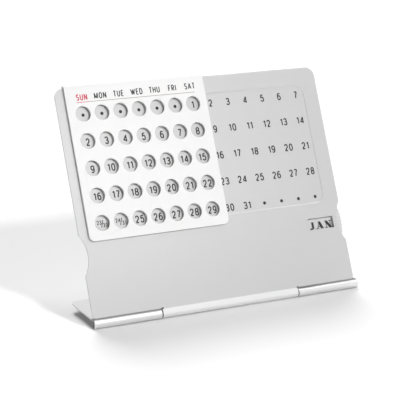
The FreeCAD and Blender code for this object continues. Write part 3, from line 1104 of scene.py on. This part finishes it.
def broad_pen(width, slant=30.0):
    """Widest across the nib, which is held at a slant."""
    nib = Vector((math.cos(math.radians(slant)), math.sin(math.radians(slant))))
    thinnest = 0.2
    return lambda along: width * (thinnest + (1.0 - thinnest) * abs(along.x * nib.y - along.y * nib.x) * 1.1)


def serif(point, width):
    """Thin slab at the end of a stem."""
    thickness = width * 0.22
    reach = width * 0.62
    inward = thickness if point[1] < 0.5 else -thickness
    edge = 0.0 if point[1] < 0.5 else 1.0
    return [Vector((point[0] - reach, edge)), Vector((point[0] + reach, edge)),
            Vector((point[0] + reach, edge + inward)), Vector((point[0] - reach, edge + inward))]


thin_strokes = {"A": (0, 2), "M": (0,), "N": (0, 1), "U": (2,), "V": (1,), "Y": (1,)}


def sign_outlines(sign, left, breadth, width, pen, serifs):
    """Ribbons of one sign of unit height from a left edge, and the sign's width."""
    body, strokes = signs[sign]
    body = max(body * breadth, width)
    hairline = round_pen(width * 0.28)
    inset = width * 0.14 if serifs else width / 2.0
    outlines = []
    for index, stroke in enumerate(strokes):
        line = [(left + width / 2.0 + x * (body - width), inset + y * (1.0 - 2.0 * inset)) for x, y in stroke]
        thin = serifs and index in thin_strokes.get(sign, ())
        outlines.append(ribbon(line, hairline if thin else pen))
        if not serifs:
            continue
        for end, (x, y) in ((line[0], stroke[0]), (line[-1], stroke[-1])):
            upright = abs(stroke[0][1] - stroke[-1][1]) > 0.4
            if upright and y in (0.0, 1.0):
                outlines.append(serif(end, width))
    return outlines, body


print("pens ready")

# %% [markdown]
# The strokes of a sign cross each other. A constrained triangulation of all the ribbons together
# gives one clean sheet: every triangle that lies in at least one ribbon is kept, which leaves the
# holes of a 0 or an 8 open. The sheet is then raised to the thickness of the ink.

# %% Labels
ink_thickness = 0.03
ink_sink = 0.01
cross_tolerance = 1e-5
triangles_inside = 1


def united(outlines):
    """Flat mesh of the area that the outlines cover together."""
    corners = []
    rings = []
    for outline in outlines:
        following = outline[1:] + outline[:1]
        area = sum(here.x * there.y - there.x * here.y for here, there in zip(outline, following))
        if area < 0.0:
            outline = outline[::-1]
        rings.append(list(range(len(corners), len(corners) + len(outline))))
        corners += outline
    points, _, faces, _, _, owners = delaunay_2d_cdt(corners, [], rings, triangles_inside, cross_tolerance)
    kept = [face for face, owner in zip(faces, owners) if owner]
    mesh = bpy.data.meshes.new("united")
    mesh.from_pydata([(point.x, point.y, 0.0) for point in points], [], kept)
    return mesh


def inked(mesh):
    """The flat drawing as a film of ink, its top facing up."""
    shape = bmesh.new()
    shape.from_mesh(mesh)
    loose = [vertex for vertex in shape.verts if not vertex.link_faces]
    bmesh.ops.delete(shape, geom=loose, context="VERTS")
    lifted = bmesh.ops.extrude_face_region(shape, geom=shape.faces[:], use_keep_orig=True)["geom"]
    raised = [item for item in lifted if isinstance(item, bmesh.types.BMVert)]
    bmesh.ops.translate(shape, verts=raised, vec=(0.0, 0.0, ink_thickness))
    bmesh.ops.recalc_face_normals(shape, faces=shape.faces[:])
    return mesh_from(shape, "film", merged=False)


def label_mesh(text, height, weight, breadth=1.0, gap=0.16, broad=False):
    """Text of a given height, centred on the origin, as a thin film of ink."""
    outlines = []
    cursor = 0.0
    pen = broad_pen(weight) if broad else round_pen(weight)
    for sign in text:
        ribbons, width = sign_outlines(sign, cursor, breadth, weight, pen, broad)
        outlines += ribbons
        cursor += width + gap
    middle = Vector(((cursor - gap) / 2.0, 0.5))
    outlines = [[(point - middle) * height for point in outline] for outline in outlines]
    return inked(united(outlines))


def joined_meshes(parts):
    """One mesh of several, each with its own matrix."""
    shape = bmesh.new()
    for mesh, place in parts:
        mesh.transform(place)
        shape.from_mesh(mesh)
    return mesh_from(shape, "joined", merged=False)


def dot_mesh(radius, sides):
    """Round dot of ink."""
    ring = arc_points((0.0, 0.0), radius, 0.0, 360.0 - 360.0 / sides, sides - 1)
    return inked(united([[Vector(point) for point in ring]]))


print("label helpers ready")

# %% [markdown]
# The printed dates follow one rule. Counting columns and rows from 0, the number at a place is
# column + 7 x row - 5, and any place outside 1 to 31 has a dot. The first two places of the last
# row hold two dates each. The tree works this out from each point's position and picks the label of
# that number, so no date is placed by hand.

# %% The rule of the dates
date_height = 4.0
date_weight = 0.165
dot_radius = 0.88
dot_sides = 24
pair_height = 2.2
pair_shift = 1.6
pair_rise = 0.75
print_right = 0.6
print_down = 0.25
number_offset = 5
last_date = 31
pair_columns = 2
index_nudge = 0.01


def pair_label(upper, lower):
    """Two small dates with a slash between them."""
    raised = label_mesh(upper, pair_height, weight=0.17, breadth=0.95, gap=0.12)
    lowered = label_mesh(lower, pair_height, weight=0.17, breadth=0.95, gap=0.12)
    return joined_meshes([
        (raised, Matrix.Translation((-pair_shift, pair_rise, 0.0))),
        (label_mesh("/", date_height, weight=0.1), Matrix.Identity(4)),
        (lowered, Matrix.Translation((pair_shift, -pair_rise, 0.0)))])


def date_labels():
    """Collection of labels in order: the dot, 1 to 31, and the two pairs."""
    meshes = [dot_mesh(dot_radius, dot_sides)]
    meshes += [label_mesh(str(number), date_height, date_weight) for number in range(1, last_date + 1)]
    meshes += [pair_label("23", "30"), pair_label("24", "31")]
    return label_collection("date_labels", meshes)


def label_collection(name, meshes):
    """Collection whose members sort in the order of the list."""
    collection = bpy.data.collections.new(name)
    for index, mesh in enumerate(meshes):
        collection.objects.link(bpy.data.objects.new("%s_%02d" % (name, index), mesh))
    return collection


def date_tree():
    """Tree that picks the right label for every place of the grid."""
    tree, given = new_tree("printed_dates", {
        "Labels": "Collection", "Columns": "Int", "Rows": "Int",
        "Column Pitch": "Float", "Row Pitch": "Float"})
    pitch_x = Value(tree, given["Column Pitch"])
    pitch_y = Value(tree, given["Row Pitch"])
    width = (Value(tree, given["Columns"]) - 1) * pitch_x
    height = (Value(tree, given["Rows"]) - 1) * pitch_y
    grid = make_node(tree, "GeometryNodeMeshGrid", None, {
        "Size X": width, "Size Y": height,
        "Vertices X": given["Columns"], "Vertices Y": given["Rows"]})
    position = make_node(tree, "GeometryNodeInputPosition")
    parts = make_node(tree, "ShaderNodeSeparateXYZ", None, {0: position.outputs["Position"]})
    column = (field(tree, parts, "X") + width * 0.5) / pitch_x
    row = (height * 0.5 - field(tree, parts, "Y")) / pitch_y
    number = column + row * week_columns - number_offset
    is_date = (number > 0.5) * (number < last_date + 0.5)
    is_pair = (row > grid_rows - 1.5) * (column < pair_columns - 0.5)
    choice = number * is_date * (1 - is_pair) + is_pair * (column + (last_date + 1)) + index_nudge
    return finish_tree(tree, given, labels_on(tree, grid.outputs["Mesh"], given["Labels"], choice))


print("places on the printed grid:", grid_columns * grid_rows)

# %% Printed dates on the recess floor
dates = run_tree(date_tree(), bpy.data.meshes.new("empty"), {
    "Labels": date_labels(), "Columns": grid_columns, "Rows": grid_rows,
    "Column Pitch": column_pitch, "Row Pitch": row_pitch, "Material": black_ink})
grid_centre = (
    first_column + (grid_columns - 1) * column_pitch / 2.0 + print_right,
    last_row + (grid_rows - 1) * row_pitch / 2.0 - print_down,
    recess_floor - ink_sink)
settled(dates, "printed_dates", on_panel @ Matrix.Translation(grid_centre), black_ink, "panel")

# %% [markdown]
# The weekday names and the rule under them are printed on the slider. Sunday is red, and so is the
# start of the rule, so the names and the rule are two pieces of ink each.

# %% Weekday names
weekday_height = 3.35
weekday_shift_left = 0.7
weekday_shift_right = -0.3
weekday_base_left = 112.1
weekday_base_right = 112.9
weekday_names = ["SUN", "MON", "TUE", "WED", "THU", "FRI", "SAT"]
rule_level = 111.2
rule_thickness = 0.28
rule_left = first_column - 2.4
rule_split = first_column + 4.4
rule_right = first_column + days_width + 2.1
print_level = slider_face - ink_sink


def weekday_place(column):
    """Centre of a weekday's name; the names climb slightly to the right."""
    share = column / (week_columns - 1)
    base = weekday_base_left + (weekday_base_right - weekday_base_left) * share
    shift = weekday_shift_left + (weekday_shift_right - weekday_shift_left) * share
    x = first_column + column * column_pitch + shift
    return Matrix.Translation((x, base + weekday_height / 2.0, print_level))


def weekday_label(column):
    """One weekday's name and its place."""
    label = label_mesh(weekday_names[column], weekday_height, weight=0.158, breadth=0.84, gap=0.13)
    return label, weekday_place(column)


def rule(left, right):
    """Straight bar of ink under the names, and its place."""
    low = rule_level - rule_thickness / 2.0
    high = rule_level + rule_thickness / 2.0
    mesh = bpy.data.meshes.new("rule")
    mesh.from_pydata(
        at_level([(left, low), (right, low), (right, high), (left, high)], 0.0), [], [(0, 1, 2, 3)])
    return inked(mesh), Matrix.Translation((0.0, 0.0, print_level))


slider_prints = {
    "sunday_print": (red_ink, [weekday_label(0)]),
    "weekday_print": (black_ink, [weekday_label(column) for column in range(1, week_columns)]),
    "sunday_rule": (red_ink, [rule(rule_left, rule_split)]),
    "weekday_rule": (rule_ink, [rule(rule_split, rule_right)]),
}
for print_name, (ink, parts) in slider_prints.items():
    settled(joined_meshes(parts), print_name, on_panel, ink, "slider")

# %% [markdown]
# The month names stand on the wheel like the spokes of a fan, one every 30 degrees, so that each
# comes level in the window in its turn. They are bold capitals from the broad pen, with serifs.

# %% Month names
month_names = ["JAN", "FEB", "MAR", "APR", "MAY", "JUN", "JUL", "AUG", "SEP", "OCT", "NOV", "DEC"]
month_height = 3.9
month_drop = 0.8
month_outward = 0.45
month_reach = window_centre.x - wheel_centre.x


def month_label(name):
    """One month's name, already at its distance from the wheel's axis."""
    mesh = label_mesh(name, month_height, weight=0.36, breadth=1.6, gap=0.32, broad=True)
    mesh.transform(Matrix.Translation((month_reach + month_outward, -month_drop, 0.0)))
    return mesh


def fan_tree():
    """Tree that turns each label of a collection to its own step of a full circle."""
    tree, given = new_tree("month_names", {"Labels": "Collection", "Count": "Int"})
    points, index, turn = around_circle(tree, given["Count"], -math.tau)
    return finish_tree(tree, given, labels_on(tree, points, given["Labels"], index, turn))


month_labels = label_collection("month_labels", [month_label(name) for name in month_names])
months = run_tree(fan_tree(), bpy.data.meshes.new("empty"), {
    "Labels": month_labels, "Count": len(month_names), "Material": black_ink})
month_place = on_panel @ Matrix.Translation((wheel_centre.x, wheel_centre.y, wheel_front - ink_sink))
settled(months, "month_print", month_place, black_ink, "wheel")

# %% [markdown]
# The small pieces of the construction keep their own shapes, which are already right: the pin, the
# washers, the stud, its spring washer and clip, and the glides. They only take their finishes.

# %% Finishes for the small pieces
small_pieces = [
    (steel_finish, ["hinge_pin", "wheel_stud", "wheel_spring_washer", "wheel_clip"]),
    (nylon_finish, ["left_hinge_washer", "right_hinge_washer", "wheel_washer"]),
    (nylon_finish, ["left_slider_glide", "right_slider_glide"]),
]
for finish, node_names in small_pieces:
    for node_name in node_names:
        node_materials = frame["nodes"][node_name].data.materials
        node_materials.clear()
        node_materials.append(finish)
    print("finished as %s:" % finish.name, ", ".join(node_names))

# %% [markdown]
# The stage is a wide white floor. What the camera and the gloss see of it is lifted to white by a
# little light of its own, and the rest is its real shading, so that the shadow stays.

# %% Floor and world
def seen_straight(tree):
    """1 on the rays of the camera and of gloss, and 0 on all the others."""
    path = make_node(tree, "ShaderNodeLightPath")
    return field(tree, path, "Is Camera Ray") + field(tree, path, "Is Glossy Ray")


def white_floor():
    """White floor that keeps shadows and shows white to the camera and in gloss."""
    material, tree, shader = new_finish("white_floor")
    fill(tree, shader, {
        "Base Color": grey(0.78), "Roughness": 0.9, "Specular IOR Level": 0.0,
        "Emission Color": grey(1.0), "Emission Strength": seen_straight(tree) * 0.06})
    return material


floor_reach = 4.0
floor_mesh = bpy.data.meshes.new("floor")
floor_corners = [(-floor_reach, -floor_reach), (floor_reach, -floor_reach)]
floor_corners += [(floor_reach, floor_reach), (-floor_reach, floor_reach)]
floor_mesh.from_pydata(at_level(floor_corners, 0.0), [], [(0, 1, 2, 3)])
floor_mesh.materials.append(white_floor())
floor = linked("floor", floor_mesh)

world = bpy.data.worlds.new("studio")
scene.world = world
world.use_nodes = True
world_tree = world.node_tree
ambient = 0.17
fill(world_tree, world_tree.nodes["Background"], {
    "Color": grey(1.0), "Strength": ambient + seen_straight(world_tree) * (1.0 - ambient)})
print("floor and world ready")

# %% [markdown]
# The key is a soft sun from the upper right, nearly straight on the panel, as the narrow dark
# crescents inside the holes show. A sun lights the floor evenly, so the white stays white as far as
# the horizon. A faint sun overhead, just in front of the panel's plane, draws the bright lines on
# what faces up. A wide sun from behind lights the floor and the base, and leaves the soft shadow in
# front. The key and the sun behind are left out of the gloss, because their glare on the sheet came
# out far stronger than the photograph's. A small near lamp makes the panel fall off from left to
# right.

# %% Lamps
def lamp(name, kind, facing, energy, place=(0.0, 0.0, 0.0), in_gloss=True, **settings):
    """Lamp that faces along a direction; a sun shines alike from any place."""
    data = bpy.data.lights.new(name, kind)
    data.energy = energy
    for setting, value in settings.items():
        setattr(data, setting, value)
    piece = linked(name, data)
    piece.location = place
    piece.rotation_euler = Vector(facing).to_track_quat("-Z", "Y").to_euler()
    piece.visible_glossy = in_gloss


lamp("key", "SUN", (-0.25, 0.81, -0.56), 1.96, in_gloss=False, angle=math.radians(8.0))
lamp("top", "SUN", (-0.36, -0.02, -0.93), 0.5, angle=math.radians(18.0))
lamp("back", "SUN", (-0.12, -0.67, -0.73), 2.8, in_gloss=False, angle=math.radians(28.0))

left_edge = Vector((-0.10, 0.03, 0.065))
sheen_distance = 0.34
sheen_place = left_edge + Vector((0.4285, -0.7686, 0.4749)) * sheen_distance
lamp("sheen", "AREA", left_edge - sheen_place, 0.08, sheen_place, size=0.08)
print("lamps:", len(bpy.data.lights))

# %% [markdown]
# The camera stands where the photograph was taken from, found from the printed grid and the edges
# of the sheets: a long lens, a little to the left of the front and above it.

# %% Camera and view
camera_target = Vector((-0.007273, -0.003078, 0.053372))
camera_azimuth = math.radians(26.29)
camera_elevation = math.radians(14.68)
camera_distance = 0.784114
camera_lens = 137.02

away = Vector((
    -math.sin(camera_azimuth) * math.cos(camera_elevation),
    -math.cos(camera_azimuth) * math.cos(camera_elevation),
    math.sin(camera_elevation)))
camera_data = bpy.data.cameras.new("camera")
camera_data.lens = camera_lens
camera_data.sensor_width = 36.0
camera_data.clip_start = 0.01
camera_data.clip_end = 20.0
camera = linked("camera", camera_data)
camera.location = camera_target + away * camera_distance
camera.rotation_euler = (-away).to_track_quat("-Z", "Y").to_euler()
scene.camera = camera
scene.view_settings.view_transform = "Standard"
print("camera at", [round(value, 4) for value in camera.location])
